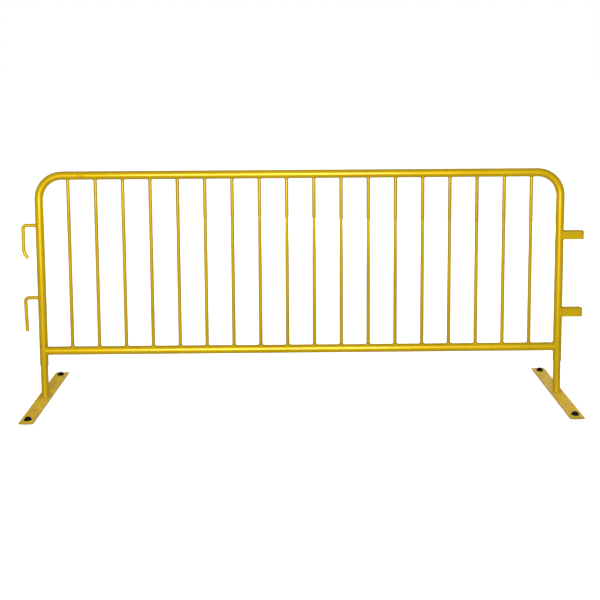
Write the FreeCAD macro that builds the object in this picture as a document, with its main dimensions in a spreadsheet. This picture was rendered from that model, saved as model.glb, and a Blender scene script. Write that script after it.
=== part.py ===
"""Steel crowd-control barrier: a welded tube panel, hooked to its neighbours at both ends, on two flat feet.

Millimetres. X runs along the panel, Y through it with the front at -Y, and Z up.
The origin is on the ground under the middle of the whole barrier, hooks and loops included.
Each foot is a flat bar with a stub tube that turns inside the post above it.
"""

import FreeCAD, Part

import math
import os
import re

import Sketcher

# The driving sizes: alias, value, meaning.
DRIVING_SIZES = [
    ("panel_height", 1067.0, "ground to the top of the top rail"),
    ("post_spacing", 2394.0, "between the centre lines of the two posts"),
    ("frame_od", 38.1, "outer diameter of the posts, the top rail and the bottom rail"),
    ("frame_wall", 1.65, "wall of the frame tubes"),
    ("corner_radius", 106.0, "centre line radius of the two top bends"),
    ("post_bottom", 160.0, "ground to the open lower ends of the posts"),
    ("rail_above_end", 68.0, "post's lower end to the bottom rail's centre line"),
    ("rail_tip_trim", 4.0, "flat taken off the sharp tips of the bottom rail's coped ends"),
    ("picket_count", 18, "number of pickets"),
    ("picket_od", 15.9, "outer diameter of a picket"),
    ("picket_wall", 1.2, "wall of a picket"),
    ("picket_offset", 28.5, "end of a top bend to the centre line of the nearest picket"),
    ("hook_rod", 15.9, "diameter of the hook rods"),
    ("hook_reach", 77.0, "post's centre line to the centre line of a hook's leg"),
    ("hook_bend", 16.0, "centre line radius of the hooks' bends"),
    ("hook_end_round", 3.0, "rounding of a hook's free end"),
    ("upper_hook_drop", 229.0, "top rail's centre line down to the upper hook's arm"),
    ("upper_hook_leg", 123.0, "arm to the kink in the upper hook's leg"),
    ("upper_hook_tip", 36.0, "kink to the free end of the upper hook"),
    ("upper_hook_kink", 30.6, "degrees that the upper hook's tip turns towards the post"),
    ("lower_hook_drop", 568.0, "top rail's centre line down to the lower hook's arm"),
    ("lower_hook_leg", 158.0, "arm to the free end of the lower hook"),
    ("lower_hook_lean", 1.6, "degrees that the lower hook's leg leans towards the post"),
    ("loop_reach", 111.7, "post's centre line to the outer face of a loop's end"),
    ("loop_bar_height", 38.1, "height of the loops' flat bar"),
    ("loop_bar_thickness", 6.35, "thickness of the loops' flat bar"),
    ("loop_bend", 12.7, "centre line radius of a loop's two bends"),
    ("loop_start", 9.0, "post's centre line to the trimmed ends of a loop's legs"),
    ("upper_loop_drop", 292.0, "top rail's centre line down to the middle of the upper loop"),
    ("lower_loop_drop", 655.0, "top rail's centre line down to the middle of the lower loop"),
    ("bar_edge_round", 1.0, "rounding along the edges of every flat bar"),
    ("foot_length", 660.0, "length of a foot's flat bar, through the panel"),
    ("foot_width", 63.5, "width of a foot's flat bar"),
    ("foot_thickness", 6.35, "thickness of a foot's flat bar"),
    ("stub_insert", 150.0, "length of stub tube inside the post"),
    ("stub_wall", 3.38, "wall of the stub tube"),
    ("stub_clearance", 0.7, "radial clearance between the stub tube and the post"),
    ("stub_lead", 1.5, "lead-in chamfer on the stub tube's upper end"),
    ("plug_height", 6.0, "thickness of the stop plug inside the post"),
    ("plug_gap", 0.1, "stub tube's upper end to the stop plug"),
    ("bumper_inset", 37.0, "end of a foot's flat bar to the centre of a bumper"),
    ("bumper_hole", 12.7, "diameter of the bumper's stem and of its hole in the bar"),
    ("pad_diameter", 50.0, "diameter of the bumper's pad, under the bar"),
    ("pad_height", 6.0, "thickness of the bumper's pad"),
    ("pad_bevel", 1.5, "bevel round the bottom of the pad"),
    ("head_diameter", 34.0, "diameter of the bumper's head, on top of the bar"),
    ("head_rim", 2.0, "height of the head's straight rim"),
    ("head_dome", 12.0, "rise of the head's dome above its rim"),
    ("clamp_above_end", 25.0, "post's lower end to the clamp screw's centre line"),
    ("screw_diameter", 8.0, "diameter of the clamp screw's shank"),
    ("screw_clearance", 0.05, "radial running clearance of the shank in the weld nut"),
    ("screw_hole_margin", 0.5, "radial clearance of the shank in the post's wall"),
    ("screw_tip_gap", 0.3, "clamp screw's tip to the stub tube"),
    ("screw_standoff", 9.0, "weld nut to the underside of the screw's head"),
    ("hex_flats", 13.0, "size across the flats of the weld nut and of the screw's head"),
    ("nut_height", 6.5, "weld nut, from the back of the post outwards"),
    ("nut_seat_depth", 1.5, "depth of the nut's saddle round the post"),
    ("screw_head_height", 5.3, "height of the screw's head"),
]

# What follows from them: alias, formula, meaning.
DERIVED_SIZES = [
    ("panel_x", "(hook_reach + hook_rod / 2 - loop_reach) / 2", "X midway between the posts"),
    ("left_x", "panel_x - post_spacing / 2", "X of the left post"),
    ("right_x", "panel_x + post_spacing / 2", "X of the right post"),
    ("top_z", "panel_height - frame_od / 2", "centre line of the top rail"),
    ("rail_z", "post_bottom + rail_above_end", "centre line of the bottom rail"),
    ("frame_id", "frame_od - 2 * frame_wall", "bore of the frame tubes"),
    ("first_picket_x", "left_x + corner_radius + picket_offset", "X of the first picket"),
    ("picket_pitch", "2 * (panel_x - first_picket_x) / (picket_count - 1)", "between pickets"),
    ("upper_hook_z", "top_z - upper_hook_drop", "arm of the upper hook"),
    ("lower_hook_z", "top_z - lower_hook_drop", "arm of the lower hook"),
    ("upper_loop_z", "top_z - upper_loop_drop", "middle of the upper loop"),
    ("lower_loop_z", "top_z - lower_loop_drop", "middle of the lower loop"),
    ("loop_half_width", "(frame_od - loop_bar_thickness) / 2", "legs flush with the post's sides"),
    ("plate_top", "pad_height + foot_thickness", "top of the feet's flat bars"),
    ("stub_od", "frame_id - 2 * stub_clearance", "outer diameter of the stub tubes"),
    ("stub_top", "post_bottom + stub_insert", "upper ends of the stub tubes"),
    ("bumper_y", "foot_length / 2 - bumper_inset", "bumper's distance from the panel's plane"),
    ("clamp_z", "post_bottom + clamp_above_end", "centre line of the clamp screws"),
    ("nut_back", "frame_od / 2 + nut_height", "Y of the weld nuts' outer faces"),
    ("screw_tip", "stub_od / 2 + screw_tip_gap", "Y of the clamp screws' tips"),
    ("screw_seat", "nut_back + screw_standoff", "Y of the underside of the screws' heads"),
]

START, END, CENTRE = 1, 2, 3  # the points of a sketch element, as Sketcher numbers them
UP = FreeCAD.Vector(0, 0, 1)
Z_TO_Y = FreeCAD.Rotation(FreeCAD.Vector(1, 0, 0), -90)  # lays a primitive's axis along +Y

doc = FreeCAD.newDocument("crowd_barrier")
sheet = doc.addObject("Spreadsheet::Sheet", "Sizes")
sub_parts = {}


def fill_sheet():
    """Writes every size into the spreadsheet, with its meaning beside it."""
    rows = [(alias, str(number), meaning) for alias, number, meaning in DRIVING_SIZES]
    rows += [(alias, "=" + formula, meaning) for alias, formula, meaning in DERIVED_SIZES]
    for row, (alias, content, meaning) in enumerate(rows, start=1):
        sheet.set(f"A{row}", meaning)
        sheet.set(f"B{row}", content)
        sheet.setAlias(f"B{row}", alias)
    doc.recompute()


def linked(formula):
    """Turns the sheet's aliases in a formula into references to its cells."""
    return re.sub(r"\b([a-z]\w*)\b(?!\()", r"Sizes.\1", formula)


def size(formula):
    """The present value of a formula of the sheet's aliases."""
    return float(sheet.evalExpression(linked(formula)))


def bind(thing, target, formula):
    """Ties a property to a formula of the sheet's aliases."""
    thing.setExpression(target, linked(formula))


# ---- Sketches ----


def new_body(name):
    """Starts the sub-part of that name as a PartDesign body."""
    body = doc.addObject("PartDesign::Body", name)
    sub_parts[name] = body
    return body


def new_sketch(body, role, height="0"):
    """Adds a sketch on one of the body's own origin planes, moved along the plane's normal."""
    sketch = body.newObject("Sketcher::SketchObject", f"{body.Name}_sketch")
    plane = next(feature for feature in body.Origin.OriginFeatures if feature.Role == role)
    sketch.AttachmentSupport = [(plane, "")]
    sketch.MapMode = "FlatFace"
    bind(sketch, "AttachmentOffset.Base.z", height)
    return sketch


def constrain(sketch, kind, *where, formula):
    """Adds a constraint whose size is a formula of the sheet's aliases."""
    number = sketch.addConstraint(Sketcher.Constraint(kind, *where, size(formula)))
    bind(sketch, f"Constraints[{number}]", formula)


def lock_point(sketch, element, point, across, up):
    """Holds one point of a sketch element at a pair of formulas."""
    constrain(sketch, "DistanceX", -1, START, element, point, formula=across)
    constrain(sketch, "DistanceY", -1, START, element, point, formula=up)


def add_circle(sketch, across, up, diameter):
    """Draws a circle whose centre and diameter are formulas."""
    centre = FreeCAD.Vector(size(across), size(up), 0)
    circle = sketch.addGeometry(Part.Circle(centre, UP, size(diameter) / 2))
    lock_point(sketch, circle, CENTRE, across, up)
    constrain(sketch, "Diameter", circle, formula=diameter)


def bend_arc(before, corner, after, radius):
    """The arc that rounds a corner, and whether it turns left."""
    arriving = (corner - before).normalize()
    leaving = (after - corner).normalize()
    turn = arriving.getAngle(leaving)
    left = arriving.cross(leaving).z > 0
    side = UP.cross(arriving) * (1 if left else -1)
    centre = corner - arriving * (radius * math.tan(turn / 2)) + side * radius
    first, last = -side, -side
    first_angle = math.atan2(first.y, first.x)
    last_angle = first_angle + (turn if left else -turn)
    low, high = (first_angle, last_angle) if left else (last_angle, first_angle)
    return Part.ArcOfCircle(Part.Circle(centre, UP, radius), low, high), left


def add_bent_line(sketch, corners, radius, closed=False):
    """Draws straight runs between corners given as formulas, with an arc of one radius in each bend."""
    points = [FreeCAD.Vector(size(across), size(up), 0) for across, up in corners]
    marks = [sketch.addGeometry(Part.Point(point), True) for point in points]
    for mark, (across, up) in zip(marks, corners):
        lock_point(sketch, mark, START, across, up)
    count = len(points)
    bends = range(count) if closed else range(1, count - 1)
    arcs = {i: bend_arc(points[i - 1], points[i], points[(i + 1) % count], size(radius)) for i in bends}
    runs = []
    for i in range(count if closed else count - 1):
        j = (i + 1) % count
        start = tangent_point(arcs[i], leaving=True) if i in arcs else points[i]
        end = tangent_point(arcs[j], leaving=False) if j in arcs else points[j]
        run = sketch.addGeometry(Part.LineSegment(start, end))
        runs.append(run)
        for mark, is_bend, point in ((marks[i], i in arcs, START), (marks[j], j in arcs, END)):
            if is_bend:
                sketch.addConstraint(Sketcher.Constraint("PointOnObject", mark, START, run))
            else:
                sketch.addConstraint(Sketcher.Constraint("Coincident", mark, START, run, point))
    for i, (arc, left) in arcs.items():
        bend = sketch.addGeometry(arc)
        first, last = (START, END) if left else (END, START)
        sketch.addConstraint(Sketcher.Constraint("Tangent", runs[i - 1], END, bend, first))
        sketch.addConstraint(Sketcher.Constraint("Tangent", bend, last, runs[i], START))
        constrain(sketch, "Radius", bend, formula=radius)


def tangent_point(bend, leaving):
    """Where a bend's arc meets the run after it, or the run before it."""
    arc, left = bend
    return arc.EndPoint if left == leaving else arc.StartPoint


def add_rounded_box(sketch, across, up, width, height, radius):
    """Draws a rectangle about a centre, with rounded corners."""
    left, right = f"{across} - ({width}) / 2", f"{across} + ({width}) / 2"
    low, high = f"{up} - ({height}) / 2", f"{up} + ({height}) / 2"
    add_bent_line(sketch, [(left, low), (right, low), (right, high), (left, high)], radius, closed=True)


# ---- Features ----


def pad(body, sketch, length, symmetric=False):
    """Adds material along the sketch's normal."""
    feature = body.newObject("PartDesign::Pad", f"{body.Name}_pad")
    feature.Profile = sketch
    feature.SideType = "Symmetric" if symmetric else "One side"
    bind(feature, "Length", length)
    doc.recompute()


def pipe(body, profile, path):
    """Sweeps a profile along a path."""
    feature = body.newObject("PartDesign::AdditivePipe", f"{body.Name}_pipe")
    feature.Profile = profile
    feature.Spine = (path, [])
    doc.recompute()


def cut_through(body, sketch):
    """Cuts a sketch right through the body, both ways."""
    cut(body, sketch, Type="ThroughAll", SideType="Symmetric")


def cut(body, sketch, **settings):
    """Cuts a sketch out of the body, and checks that it took something away."""
    before = body.Shape.Volume
    feature = body.newObject("PartDesign::Pocket", f"{body.Name}_pocket")
    feature.Profile = sketch
    for name, setting in settings.items():
        setattr(feature, name, setting)
    doc.recompute()
    if not body.Shape.Volume < before:
        raise RuntimeError(f"{feature.Name} cuts nothing out of {body.Name}")


def cope_to_posts(body, *posts):
    """Shapes the body's ends to the round of the posts."""
    sketch = new_sketch(body, "XY_Plane")
    for post in posts:
        add_circle(sketch, post, "0", "frame_od")
    cut_through(body, sketch)


def dress_edges(body, kind, target, amount, wanted):
    """Fillets or chamfers the circular edges that pass a test."""
    tip = body.Tip
    names = [
        f"Edge{number}"
        for number, edge in enumerate(tip.Shape.Edges, start=1)
        if edge.Curve.TypeId == "Part::GeomCircle" and wanted(edge.Curve)
    ]
    if not names:
        raise RuntimeError(f"{body.Name} has no edge to dress")
    feature = body.newObject(f"PartDesign::{kind}", f"{body.Name}_{kind.lower()}")
    feature.Base = (tip, names)
    bind(feature, target, amount)
    doc.recompute()


# ---- The panel ----


def make_frame_tube():
    """One tube bent into both posts and the top rail, with a hole for each clamp screw."""
    body = new_body("frame_tube")
    profile = new_sketch(body, "XY_Plane", "post_bottom")
    add_circle(profile, "left_x", "0", "frame_od")
    add_circle(profile, "left_x", "0", "frame_id")
    path = new_sketch(body, "XZ_Plane")
    corners = [("left_x", "post_bottom"), ("left_x", "top_z"), ("right_x", "top_z"), ("right_x", "post_bottom")]
    add_bent_line(path, corners, "corner_radius")
    pipe(body, profile, path)
    holes = new_sketch(body, "XZ_Plane")
    for post in ("left_x", "right_x"):
        add_circle(holes, post, "clamp_z", "screw_diameter + 2 * screw_hole_margin")
    cut(body, holes, Type="Length", Length=size("frame_od"))
    bind(body.Tip, "Length", "frame_od")


def make_bottom_rail():
    """The straight tube between the posts, coped to them at both ends."""
    body = new_body("bottom_rail")
    profile = new_sketch(body, "YZ_Plane", "panel_x")
    add_circle(profile, "0", "rail_z", "frame_od")
    add_circle(profile, "0", "rail_z", "frame_id")
    pad(body, profile, "post_spacing - 2 * rail_tip_trim", symmetric=True)
    cope_to_posts(body, "left_x", "right_x")


def make_picket(number):
    """One upright tube between the rails, coped to both."""
    body = new_body(f"picket_{number:02d}")
    profile = new_sketch(body, "XY_Plane", "rail_z")
    across = f"first_picket_x + {number - 1} * picket_pitch"
    add_circle(profile, across, "0", "picket_od")
    add_circle(profile, across, "0", "picket_od - 2 * picket_wall")
    pad(body, profile, "top_z - rail_z")
    rails = new_sketch(body, "YZ_Plane")
    add_circle(rails, "0", "rail_z", "frame_od")
    add_circle(rails, "0", "top_z", "frame_od")
    cut_through(body, rails)


def make_hook(name, arm_z, corners):
    """A round rod that leaves the left post, turns down and ends free."""
    body = new_body(name)
    profile = new_sketch(body, "YZ_Plane", "left_x")
    add_circle(profile, "0", arm_z, "hook_rod")
    path = new_sketch(body, "XZ_Plane")
    add_bent_line(path, [("left_x", arm_z)] + corners, "hook_bend")
    pipe(body, profile, path)
    cope_to_posts(body, "left_x")
    end = FreeCAD.Vector(size(corners[-1][0]), 0, size(corners[-1][1]))
    dress_edges(body, "Fillet", "Radius", "hook_end_round", lambda edge: edge.Center.isEqual(end, 0.01))


def make_hooks():
    """The upper hook has a kinked tip, and the lower one is a plain leg."""
    leg_x = "left_x - hook_reach"
    kink_z = "upper_hook_z - upper_hook_leg"
    across, down = "upper_hook_tip * sin(upper_hook_kink)", "upper_hook_tip * cos(upper_hook_kink)"
    upper = [(leg_x, "upper_hook_z"), (leg_x, kink_z), (f"{leg_x} + {across}", f"{kink_z} - {down}")]
    make_hook("upper_hook", "upper_hook_z", upper)
    across, down = "lower_hook_leg * sin(lower_hook_lean)", "lower_hook_leg * cos(lower_hook_lean)"
    lower = [(leg_x, "lower_hook_z"), (f"{leg_x} + {across}", f"lower_hook_z - {down}")]
    make_hook("lower_hook", "lower_hook_z", lower)


def make_loop(name, middle_z):
    """A flat bar on edge, bent into a U whose legs are welded to the right post's sides."""
    body = new_body(name)
    start, end = "right_x + loop_start", "right_x + loop_reach - loop_bar_thickness / 2"
    profile = new_sketch(body, "YZ_Plane", start)
    add_rounded_box(
        profile, "-loop_half_width", middle_z, "loop_bar_thickness", "loop_bar_height", "bar_edge_round"
    )
    path = new_sketch(body, "XY_Plane", middle_z)
    front, back = "-loop_half_width", "loop_half_width"
    add_bent_line(path, [(start, front), (end, front), (end, back), (start, back)], "loop_bend")
    pipe(body, profile, path)
    cope_to_posts(body, "right_x")


# ---- Pieces made of primitives ----


def primitive(kind, name, position, turn=None, **sizes):
    """A Part primitive at a position given as formulas, with its sizes as formulas."""
    thing = doc.addObject(f"Part::{kind}", name)
    if turn:
        thing.Placement = FreeCAD.Placement(FreeCAD.Vector(), turn)
    for axis, formula in zip("xyz", position):
        bind(thing, f"Placement.Base.{axis}", formula)
    for target, formula in sizes.items():
        bind(thing, target, formula)
    return thing


def combine(kind, name, pieces):
    """A boolean of several pieces."""
    thing = doc.addObject(f"Part::{kind}", name)
    thing.Shapes = pieces
    return thing


def subtract(name, base, tool):
    """A boolean cut of one piece from another."""
    thing = doc.addObject("Part::Cut", name)
    thing.Base = base
    thing.Tool = tool
    return thing


def make_stop_plug(side, post):
    """The disc welded inside the post, which rests on the stub tube."""
    name = f"{side}_stop_plug"
    place = (post, "0", "stub_top + plug_gap")
    sub_parts[name] = primitive("Cylinder", name, place, Radius="frame_id / 2", Height="plug_height")


def hexagon(name, post, near, height):
    """A hexagonal prism on the clamp screw's axis, from one Y outwards."""
    place = (post, near, "clamp_z")
    return primitive("Prism", name, place, Z_TO_Y, Circumradius="hex_flats / sqrt(3)", Height=height)


def make_weld_nut(side, post):
    """The nut on the back of the post, with a saddle to fit it and a bore for the screw."""
    name = f"{side}_weld_nut"
    near = "frame_od / 2 - nut_seat_depth"
    block = hexagon(f"{name}_block", post, near, "nut_back - frame_od / 2 + nut_seat_depth")
    bore = primitive(
        "Cylinder", f"{name}_bore", (post, "0", "clamp_z"), Z_TO_Y,
        Radius="screw_diameter / 2 + screw_clearance", Height="nut_back + nut_height",
    )
    seat = primitive(
        "Cylinder", f"{name}_seat", (post, "0", "clamp_z - hex_flats"),
        Radius="frame_od / 2", Height="2 * hex_flats",
    )
    sub_parts[name] = subtract(name, block, combine("MultiFuse", f"{name}_tools", [bore, seat]))


def make_clamp_screw(side, post):
    """The hexagon screw whose tip bears on the stub tube."""
    name = f"{side}_clamp_screw"
    head = hexagon(f"{name}_head", post, "screw_seat", "screw_head_height")
    shank = primitive(
        "Cylinder", f"{name}_shank", (post, "screw_tip", "clamp_z"), Z_TO_Y,
        Radius="screw_diameter / 2", Height="screw_seat - screw_tip",
    )
    sub_parts[name] = combine("MultiFuse", name, [head, shank])


# ---- The feet ----


def make_foot_plate(side, post):
    """The flat bar on the ground, with a hole near each end for a bumper."""
    body = new_body(f"{side}_foot_plate")
    section = new_sketch(body, "XZ_Plane")
    add_rounded_box(
        section, post, "pad_height + foot_thickness / 2", "foot_width", "foot_thickness", "bar_edge_round"
    )
    pad(body, section, "foot_length", symmetric=True)
    holes = new_sketch(body, "XY_Plane")
    for place in ("-bumper_y", "bumper_y"):
        add_circle(holes, post, place, "bumper_hole")
    cut_through(body, holes)


def make_foot_stub(side, post):
    """The tube welded upright on the foot's bar, which turns inside the post."""
    body = new_body(f"{side}_foot_stub")
    profile = new_sketch(body, "XY_Plane", "plate_top")
    add_circle(profile, post, "0", "stub_od")
    add_circle(profile, post, "0", "stub_od - 2 * stub_wall")
    pad(body, profile, "stub_top - plate_top")
    top, outside = size("stub_top"), size("stub_od / 2")
    dress_edges(
        body, "Chamfer", "Size", "stub_lead",
        lambda edge: abs(edge.Center.z - top) < 0.01 and abs(edge.Radius - outside) < 0.01,
    )


def make_bumper(side, end, post, place):
    """A one-piece rubber bumper: a pad under the bar, a stem through it and a domed head on top."""
    name = f"{side}_{end}_bumper"
    head_radius, dome = "(head_diameter / 2)", "head_dome"
    ball_radius = f"({head_radius} * {head_radius} + {dome} * {dome}) / (2 * {dome})"
    head_top = "plate_top + head_rim + head_dome"
    bevel = primitive(
        "Cone", f"{name}_bevel", (post, place, "0"),
        Radius1="pad_diameter / 2 - pad_bevel", Radius2="pad_diameter / 2", Height="pad_bevel",
    )
    foot_pad = primitive(
        "Cylinder", f"{name}_pad", (post, place, "pad_bevel"),
        Radius="pad_diameter / 2", Height="pad_height - pad_bevel",
    )
    stem = primitive(
        "Cylinder", f"{name}_stem", (post, place, "pad_height"),
        Radius="bumper_hole / 2", Height="foot_thickness",
    )
    ball = primitive("Sphere", f"{name}_ball", (post, place, f"{head_top} - {ball_radius}"), Radius=ball_radius)
    blank = primitive(
        "Cylinder", f"{name}_blank", (post, place, "plate_top"),
        Radius=head_radius, Height="head_rim + head_dome",
    )
    head = combine("MultiCommon", f"{name}_head", [ball, blank])
    sub_parts[name] = combine("MultiFuse", name, [bevel, foot_pad, stem, head])


# ---- The whole barrier ----


def check_objects():
    """Stops if any object failed, or any sub-part isn't one valid solid."""
    for thing in doc.Objects:
        if {"Invalid", "Error"} & set(thing.State):
            raise RuntimeError(f"{thing.Name} failed: {thing.State}")
    for name, thing in sub_parts.items():
        shape = thing.Shape
        if shape.isNull() or not shape.isValid() or len(shape.Solids) != 1:
            raise RuntimeError(f"{name} isn't one valid solid")


def export_parts():
    """Writes each sub-part to its own STEP file."""
    os.makedirs("parts", exist_ok=True)
    for name, thing in sub_parts.items():
        thing.Label = name
        thing.Shape.exportStep(f"parts/{name}.step")
        print(f"{name:22s} {thing.Shape.Volume / 1000:10.1f} cm3")


def main():
    """Builds every sub-part, checks them all and exports them."""
    fill_sheet()
    make_frame_tube()
    make_bottom_rail()
    for number in range(1, int(size("picket_count")) + 1):
        make_picket(number)
    make_hooks()
    make_loop("upper_loop", "upper_loop_z")
    make_loop("lower_loop", "lower_loop_z")
    for side in ("left", "right"):
        post = f"{side}_x"
        make_stop_plug(side, post)
        make_weld_nut(side, post)
        make_clamp_screw(side, post)
        make_foot_plate(side, post)
        make_foot_stub(side, post)
        make_bumper(side, "front", post, "-bumper_y")
        make_bumper(side, "back", post, "bumper_y")
    doc.recompute()
    check_objects()
    export_parts()


main()
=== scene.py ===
"""Steel crowd-control barrier: coats, weld beads, clamp screws, rubber bumpers and a studio."""

import math
import random

import bmesh
import bpy
from bpy.props import FloatProperty, FloatVectorProperty, IntProperty, PointerProperty
from mathutils import Euler, Matrix, Vector


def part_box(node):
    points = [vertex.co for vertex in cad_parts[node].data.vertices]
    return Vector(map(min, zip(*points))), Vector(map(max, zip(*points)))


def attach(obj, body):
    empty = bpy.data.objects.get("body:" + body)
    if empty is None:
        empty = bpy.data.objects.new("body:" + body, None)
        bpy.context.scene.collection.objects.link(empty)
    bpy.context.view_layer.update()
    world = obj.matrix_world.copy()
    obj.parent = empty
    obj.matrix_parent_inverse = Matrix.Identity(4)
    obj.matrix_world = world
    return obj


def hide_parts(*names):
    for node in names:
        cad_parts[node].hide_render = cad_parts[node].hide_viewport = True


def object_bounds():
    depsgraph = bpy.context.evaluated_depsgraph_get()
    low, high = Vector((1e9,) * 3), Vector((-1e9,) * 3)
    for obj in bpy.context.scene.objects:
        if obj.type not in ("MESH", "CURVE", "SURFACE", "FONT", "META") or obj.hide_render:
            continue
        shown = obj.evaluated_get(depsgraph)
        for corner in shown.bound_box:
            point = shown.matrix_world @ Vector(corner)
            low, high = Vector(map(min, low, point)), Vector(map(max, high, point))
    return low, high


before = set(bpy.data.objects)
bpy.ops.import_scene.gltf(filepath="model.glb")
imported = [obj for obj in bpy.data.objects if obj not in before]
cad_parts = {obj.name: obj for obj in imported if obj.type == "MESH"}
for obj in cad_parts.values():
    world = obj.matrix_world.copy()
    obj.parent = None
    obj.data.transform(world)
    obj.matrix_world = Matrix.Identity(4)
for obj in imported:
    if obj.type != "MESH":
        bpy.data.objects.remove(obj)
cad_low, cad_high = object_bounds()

bl_info = {
    "name": "Crowd-control barrier",
    "version": (1, 0, 0),
    "blender": (4, 5, 0),
    "location": "3D View > Sidebar > Barrier",
    "description": "Finishes, weld beads, screws, bumpers and a studio for a tubular steel barrier",
    "category": "Object",
}

MM = 0.001
FULL_TURN = 2 * math.pi

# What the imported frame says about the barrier, in metres.


def middle(node):
    """The centre of a CAD node's box."""
    low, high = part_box(node)
    return (low + high) / 2


def extent(node):
    """The size of a CAD node's box along X, Y and Z."""
    low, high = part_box(node)
    return high - low


tube_low, tube_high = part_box("frame_tube")
TUBE_RADIUS = extent("frame_tube").y / 2
LEFT_POST = tube_low.x + TUBE_RADIUS
RIGHT_POST = tube_high.x - TUBE_RADIUS
TOP_RAIL = tube_high.z - TUBE_RADIUS
BOTTOM_RAIL = middle("bottom_rail").z
POST_END = tube_low.z
PICKETS = sorted(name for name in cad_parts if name.startswith("picket_"))
PICKET_RADIUS = extent(PICKETS[0]).y / 2
HOOKS = ("upper_hook", "lower_hook")
LOOPS = ("upper_loop", "lower_loop")
SIDES = ("left", "right")
POSTS = {"left": LEFT_POST, "right": RIGHT_POST}
ENDS = ("front", "back")
HOOK_RADIUS = extent(HOOKS[0]).y / 2
plate_low, plate_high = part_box("left_foot_plate")
PLATE_LOW = plate_low.z
PLATE_TOP = plate_high.z


def hook_arm(node):
    """The height of a hook's arm, which is the highest part of the hook."""
    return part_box(node)[1].z - HOOK_RADIUS


# Settings a user would change.


class BarrierCoatSettings(bpy.types.PropertyGroup):
    """Colours and surface of the powder coat, the rubber and the zinc."""

    yellow: FloatVectorProperty(
        name="Yellow", description="Powder coat of the panel", subtype="COLOR",
        min=0, max=1, default=(0.78, 0.52, 0.003))
    deep_yellow: FloatVectorProperty(
        name="Deep yellow", description="Where the coat lies thin", subtype="COLOR",
        min=0, max=1, default=(0.68, 0.44, 0.002))
    # Painted shade: the pickets take this darker yellow and the deep yellow in place of the panel's two,
    # standing in for their darker shading and weaker highlights.
    picket_shade_yellow: FloatVectorProperty(
        name="Picket yellow", description="Where the coat lies thin on the pickets", subtype="COLOR",
        min=0, max=1, default=(0.52, 0.33, 0.002))
    mustard: FloatVectorProperty(
        name="Mustard", description="The older coat of the feet", subtype="COLOR",
        min=0, max=1, default=(0.84, 0.58, 0.026))
    deep_mustard: FloatVectorProperty(
        name="Deep mustard", description="Stained patches of the feet", subtype="COLOR",
        min=0, max=1, default=(0.60, 0.38, 0.034))
    # This dark colour is road dirt, soot and chip edges, and is also painted shade in the corners over
    # the bottom rail and on the foot plates' upright sides.
    grime_and_shade: FloatVectorProperty(
        name="Grime", description="Road dirt that collects in corners", subtype="COLOR",
        min=0, max=1, default=(0.16, 0.10, 0.035))
    rust: FloatVectorProperty(
        name="Rust", description="Rust stains beside the welds and on the feet", subtype="COLOR",
        min=0, max=1, default=(0.52, 0.22, 0.03))
    bare_steel: FloatVectorProperty(
        name="Chipped steel", description="Darkened steel where the coat has chipped", subtype="COLOR",
        min=0, max=1, default=(0.12, 0.062, 0.03))
    gloss_roughness: FloatProperty(
        name="Roughness", description="Roughness of clean powder coat", subtype="FACTOR",
        min=0, max=1, default=0.36)
    metallic: FloatProperty(
        name="Metallic", description="How much the coat tints what it mirrors, as metal does",
        subtype="FACTOR", min=0, max=1, default=0.5)
    clear_weight: FloatProperty(
        name="Clear layer", description="Strength of the glossy skin on the coat", subtype="FACTOR",
        min=0, max=1, default=0.5)
    clear_roughness: FloatProperty(
        name="Clear roughness", description="Roughness of the glossy skin", subtype="FACTOR",
        min=0, max=1, default=0.13)
    peel_size: FloatProperty(
        name="Orange peel", description="Width of the coat's small waves", unit="LENGTH",
        default=2.2 * MM)
    peel_height: FloatProperty(
        name="Peel height", description="Height of the coat's small waves", unit="LENGTH",
        default=0.02 * MM)
    wear: FloatProperty(
        name="Wear", description="How chipped the coat is where pieces rub", subtype="FACTOR",
        min=0, max=1, default=0.5)
    rubber: FloatVectorProperty(
        name="Rubber", description="Bumper rubber", subtype="COLOR", min=0, max=1,
        default=(0.0035, 0.003, 0.0027))
    zinc: FloatVectorProperty(
        name="Zinc", description="Zinc plate of the clamp screws", subtype="COLOR", min=0, max=1,
        default=(0.62, 0.62, 0.60))


class BarrierWeldSettings(bpy.types.PropertyGroup):
    """Sizes of the weld beads."""

    rail_bead: FloatProperty(
        name="Rail bead", description="Radius of the bead at the bottom rail's ends", unit="LENGTH",
        default=3.4 * MM)
    picket_foot_bead: FloatProperty(
        name="Picket foot bead", description="Radius of the bead at a picket's lower end", unit="LENGTH",
        default=4.1 * MM)
    picket_head_bead: FloatProperty(
        name="Picket head bead", description="Radius of the bead at a picket's upper end", unit="LENGTH",
        default=3.0 * MM)
    hook_bead: FloatProperty(
        name="Hook bead", description="Radius of the bead round a hook's arm", unit="LENGTH",
        default=3.2 * MM)
    loop_bead: FloatProperty(
        name="Loop bead", description="Radius of the bead round a loop's legs", unit="LENGTH",
        default=3.4 * MM)
    foot_bead: FloatProperty(
        name="Foot bead", description="Radius of the bead round a foot's stub", unit="LENGTH",
        default=3.2 * MM)
    nut_bead: FloatProperty(
        name="Nut bead", description="Radius of the bead round a weld nut", unit="LENGTH",
        default=1.8 * MM)
    ripple_pitch: FloatProperty(
        name="Ripple pitch", description="Distance between the ripples of a bead", unit="LENGTH",
        default=2.4 * MM)
    ripple_depth: FloatProperty(
        name="Ripple depth", description="Depth of a ripple as a share of the bead", subtype="FACTOR",
        min=0, max=1, default=0.2)
    lumps: FloatProperty(
        name="Lumps", description="Unevenness of the bead as a share of its radius", subtype="FACTOR",
        min=0, max=1, default=0.55)
    spatter_drops: IntProperty(
        name="Spatter drops", description="Drops of spatter thrown beside each picket's foot", default=7)
    spatter_size: FloatProperty(
        name="Spatter size", description="Radius of a large drop of spatter", unit="LENGTH",
        default=0.75 * MM)


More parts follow.
